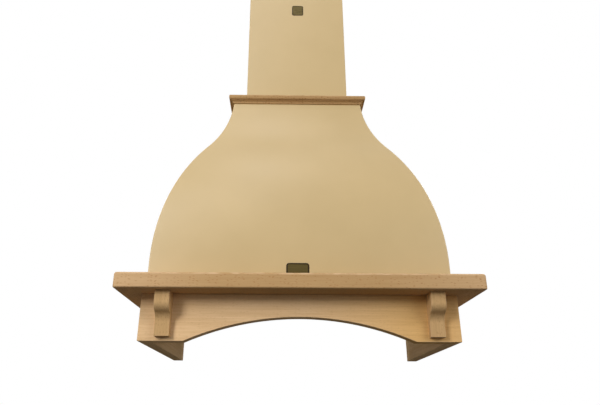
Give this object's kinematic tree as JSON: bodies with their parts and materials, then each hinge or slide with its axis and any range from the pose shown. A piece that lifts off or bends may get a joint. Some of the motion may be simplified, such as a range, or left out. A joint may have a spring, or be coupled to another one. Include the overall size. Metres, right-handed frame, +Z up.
{
  "type": "range hood",
  "caption": "Wall-mounted chimney hood with a bell-shaped painted steel shell, beech mantel shelf, arched apron, corbels and cornice, and a filter and blower unit inside.",
  "frame": {"origin": "midpoint between the two wall hook holes, on the wall plane", "axes": "+X to the right along the wall, +Y into the wall, +Z up"},
  "size_m": [0.9, 0.52, 1.3258],
  "materials": {
    "beech": "clear satin varnish",
    "ivory_paint": "satin",
    "brass_plate": "satin",
    "liner_paint": "satin",
    "zinc_steel": "matte",
    "aluminium": "satin",
    "brushed_steel": "brushed",
    "lamp_glass": "frosted",
    "black_plastic": "matte",
    "grey_plastic": "matte",
    "screw_steel": "zinc plated"
  },
  "bodies": {
    "hood": {"apron_angles": "zinc_steel", "apron_front": "beech", "apron_left": "beech", "apron_right": "beech", "apron_screws": "screw_steel", "blower_housing": "grey_plastic", "blower_motor": "zinc_steel", "cable_gland": "black_plastic", "canopy_plate": "brass_plate", "chimney_bracket": "zinc_steel", "chimney_plate": "brass_plate", "chimney_screws": "screw_steel", "control_panel": "brushed_steel", "corbel_left": "beech", "corbel_right": "beech", "corbel_screws": "screw_steel", "cornice_front": "beech", "cornice_left": "beech", "cornice_right": "beech", "extractor_casing": "zinc_steel", "filter_hangers": "zinc_steel", "hanging_plate": "zinc_steel", "lamp_bezel_left": "aluminium", "lamp_bezel_right": "aluminium", "lamp_can_left": "aluminium", "lamp_can_right": "aluminium", "lamp_lens_left": "lamp_glass", "lamp_lens_right": "lamp_glass", "liner_panel": "liner_paint", "liner_screws": "screw_steel", "lower_chimney": "ivory_paint", "mantel_front": "beech", "mantel_left": "beech", "mantel_right": "beech", "mantel_screws": "screw_steel", "motor_bracket": "zinc_steel", "outlet_collar": "grey_plastic", "shell_front": "ivory_paint", "shell_left": "ivory_paint", "shell_right": "ivory_paint", "shell_top_plate": "zinc_steel", "switch_box": "black_plastic", "terminal_box": "black_plastic"},
    "upper_chimney": {"upper_chimney": "ivory_paint"},
    "filter_left": {"filter_frame_left": "aluminium", "filter_mesh_left": "aluminium"},
    "filter_right": {"filter_frame_right": "aluminium", "filter_mesh_right": "aluminium"},
    "latch_left": {"filter_latch_left": "black_plastic"},
    "latch_right": {"filter_latch_right": "black_plastic"},
    "impeller": {"impeller": "grey_plastic", "impeller_shaft": "screw_steel"},
    "flap_left": {"flap_left": "grey_plastic"},
    "flap_right": {"flap_right": "grey_plastic"},
    "button_off": {"button_off": "black_plastic"},
    "button_speed_low": {"button_speed_low": "black_plastic"},
    "button_speed_mid": {"button_speed_mid": "black_plastic"},
    "button_speed_high": {"button_speed_high": "black_plastic"},
    "button_lamp": {"button_lamp": "black_plastic"}
  },
  "joints": [
    {"name": "upper_chimney_slide", "type": "slide", "parent": "hood", "child": "upper_chimney", "axis": [0, 0, 1], "range_m": [0, 0.38]},
    {"name": "filter_left_hinge", "type": "hinge", "parent": "hood", "child": "filter_left", "pos_m": [-0.16, -0.054, -0.261], "axis": [1, 0, 0], "range_deg": [0, 70]},
    {"name": "latch_left_slide", "type": "slide", "parent": "filter_left", "child": "latch_left", "axis": [0, 1, 0], "range_m": [0, 0.005], "stiffness_N_per_m": 200, "springref_m": -0.004},
    {"name": "filter_right_hinge", "type": "hinge", "parent": "hood", "child": "filter_right", "pos_m": [0.16, -0.054, -0.261], "axis": [1, 0, 0], "range_deg": [0, 70]},
    {"name": "latch_right_slide", "type": "slide", "parent": "filter_right", "child": "latch_right", "axis": [0, 1, 0], "range_m": [0, 0.005], "stiffness_N_per_m": 200, "springref_m": -0.004},
    {"name": "button_off_press", "type": "slide", "parent": "hood", "child": "button_off", "axis": [0, 0, 1], "range_m": [0, 0.0025], "stiffness_N_per_m": 400, "springref_m": -0.002},
    {"name": "button_speed_low_press", "type": "slide", "parent": "hood", "child": "button_speed_low", "axis": [0, 0, 1], "range_m": [0, 0.0025], "stiffness_N_per_m": 400, "springref_m": -0.002},
    {"name": "button_speed_mid_press", "type": "slide", "parent": "hood", "child": "button_speed_mid", "axis": [0, 0, 1], "range_m": [0, 0.0025], "stiffness_N_per_m": 400, "springref_m": -0.002},
    {"name": "button_speed_high_press", "type": "slide", "parent": "hood", "child": "button_speed_high", "axis": [0, 0, 1], "range_m": [0, 0.0025], "stiffness_N_per_m": 400, "springref_m": -0.002},
    {"name": "button_lamp_press", "type": "slide", "parent": "hood", "child": "button_lamp", "axis": [0, 0, 1], "range_m": [0, 0.0025], "stiffness_N_per_m": 400, "springref_m": -0.002},
    {"name": "impeller_spin", "type": "hinge", "parent": "hood", "child": "impeller", "pos_m": [0, -0.194, -0.139], "axis": [1, 0, 0], "continuous": true},
    {"name": "flap_left_hinge", "type": "hinge", "parent": "hood", "child": "flap_left", "pos_m": [-0.0035, -0.13, 0.002], "axis": [0, 1, 0], "range_deg": [0, 78]},
    {"name": "flap_right_hinge", "type": "hinge", "parent": "hood", "child": "flap_right", "pos_m": [0.0035, -0.13, 0.002], "axis": [0, -1, 0], "range_deg": [0, 78]}
  ]
}
